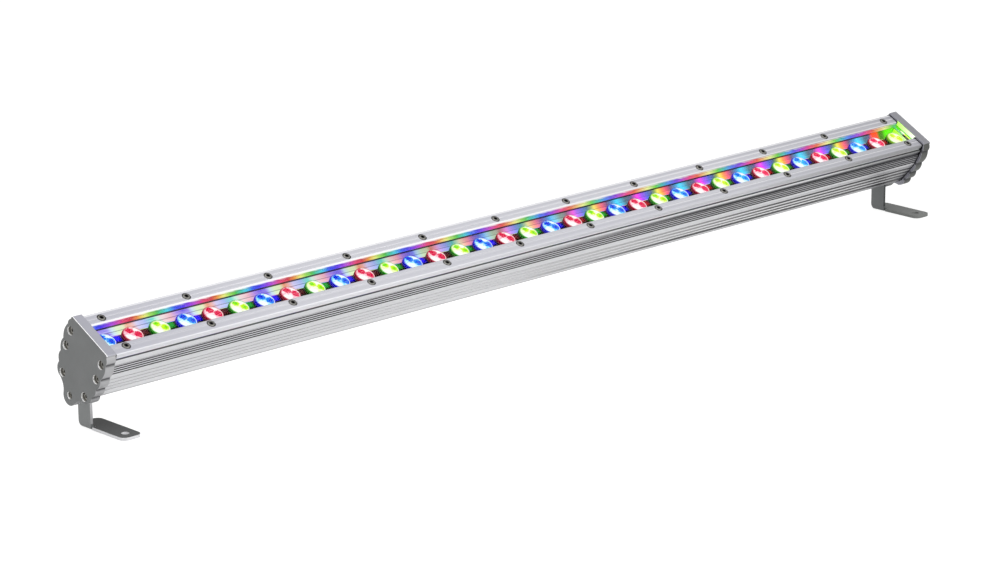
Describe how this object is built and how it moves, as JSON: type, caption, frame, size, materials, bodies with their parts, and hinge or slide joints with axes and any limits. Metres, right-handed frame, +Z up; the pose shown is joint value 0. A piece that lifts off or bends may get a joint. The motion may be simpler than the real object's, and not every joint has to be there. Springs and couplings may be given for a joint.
{
  "type": "wall washer light",
  "caption": "Slim tilted aluminium light bar with a glass-covered row of coloured lenses, ribbed sides, scalloped end caps and two small folded foot brackets",
  "frame": {"origin": "middle of the bottom of the whole light's box, on the ground under the feet", "axes": "+X along the lamp towards the end with the cable gland, +Y from the window side to the back, +Z up"},
  "size_m": [1.017, 0.0666, 0.0977],
  "materials": {
    "housing_alu": "bead-blasted and clear-anodised extrusion",
    "strip_alu": "bead-blasted and clear-anodised extruded strip",
    "cap_alu": "die-cast aluminium with a satin grey coat",
    "bracket_steel": "pressed stainless steel sheet, bead-blasted",
    "screw_steel": "turned stainless steel socket screws",
    "black_screw": "black oxide steel screws",
    "window_glass": "clear toughened soda-lime glass with polished edges",
    "gasket_rubber": "moulded black silicone rubber",
    "reflector_mirror": "bright-rolled aluminium sheet",
    "board_mask": "black solder mask over a metal-core board",
    "pad_silicone": "soft grey thermal silicone sheet",
    "chip_red": "lit red emitter under a clear silicone dome",
    "chip_green": "lit green emitter under a clear silicone dome",
    "chip_blue": "lit blue emitter under a clear silicone dome",
    "cup_black": "moulded black polycarbonate lens cups",
    "lens_red": "moulded acrylic lens, glowing red",
    "lens_green": "moulded acrylic lens, glowing yellowish green",
    "lens_blue": "moulded acrylic lens, glowing blue",
    "tray_plastic": "extruded white insulating tray",
    "board_green": "green solder mask on a glass-fibre board",
    "board_parts": "moulded and wound electronic parts",
    "board_blue": "blue solder mask on a glass-fibre board",
    "wire_brown": "brown insulated supply leads",
    "wire_grey": "grey insulated signal leads",
    "gland_nylon": "moulded black nylon",
    "spacer_nylon": "turned dark acetal bush"
  },
  "bodies": {
    "lamp": {"housing": "housing_alu", "left_end_cap": "cap_alu", "right_end_cap": "cap_alu", "left_cap_gasket": "gasket_rubber", "right_cap_gasket": "gasket_rubber", "left_cap_screws": "screw_steel", "right_cap_screws": "screw_steel", "front_clamp_strip": "strip_alu", "rear_clamp_strip": "strip_alu", "front_clamp_screws": "screw_steel", "rear_clamp_screws": "screw_steel", "cover_glass": "window_glass", "glass_top_seals": "gasket_rubber", "glass_bed_seal": "gasket_rubber", "front_reflector": "reflector_mirror", "rear_reflector": "reflector_mirror", "lens_board": "board_mask", "thermal_pad": "pad_silicone", "board_screws": "black_screw", "red_leds": "chip_red", "green_leds": "chip_green", "blue_leds": "chip_blue", "lens_cups": "cup_black", "red_lenses": "lens_red", "green_lenses": "lens_green", "blue_lenses": "lens_blue", "driver_tray": "tray_plastic", "driver_board": "board_green", "driver_parts": "board_parts", "control_board": "board_blue", "driver_screws": "screw_steel", "supply_wires": "wire_brown", "lens_board_wires": "wire_grey", "gland_body": "gland_nylon", "gland_locknut": "gland_nylon", "gland_seal": "gasket_rubber", "gland_nut": "gland_nylon", "left_pivot_bolt": "screw_steel", "right_pivot_bolt": "screw_steel", "left_pivot_spacer": "spacer_nylon", "right_pivot_spacer": "spacer_nylon", "left_pivot_nut": "screw_steel", "right_pivot_nut": "screw_steel"},
    "left_leg": {"left_bracket": "bracket_steel"},
    "right_leg": {"right_bracket": "bracket_steel"}
  },
  "joints": [
    {"name": "left_bracket_tilt", "type": "hinge", "parent": "lamp", "child": "left_leg", "pos_m": [-0.49355, 0.0182, 0.0301], "axis": [1, 0, 0], "range_deg": [-60, 115]},
    {"name": "right_bracket_tilt", "type": "hinge", "parent": "lamp", "child": "right_leg", "pos_m": [0.47655, 0.0182, 0.0301], "axis": [1, 0, 0], "range_deg": [-60, 115]}
  ]
}
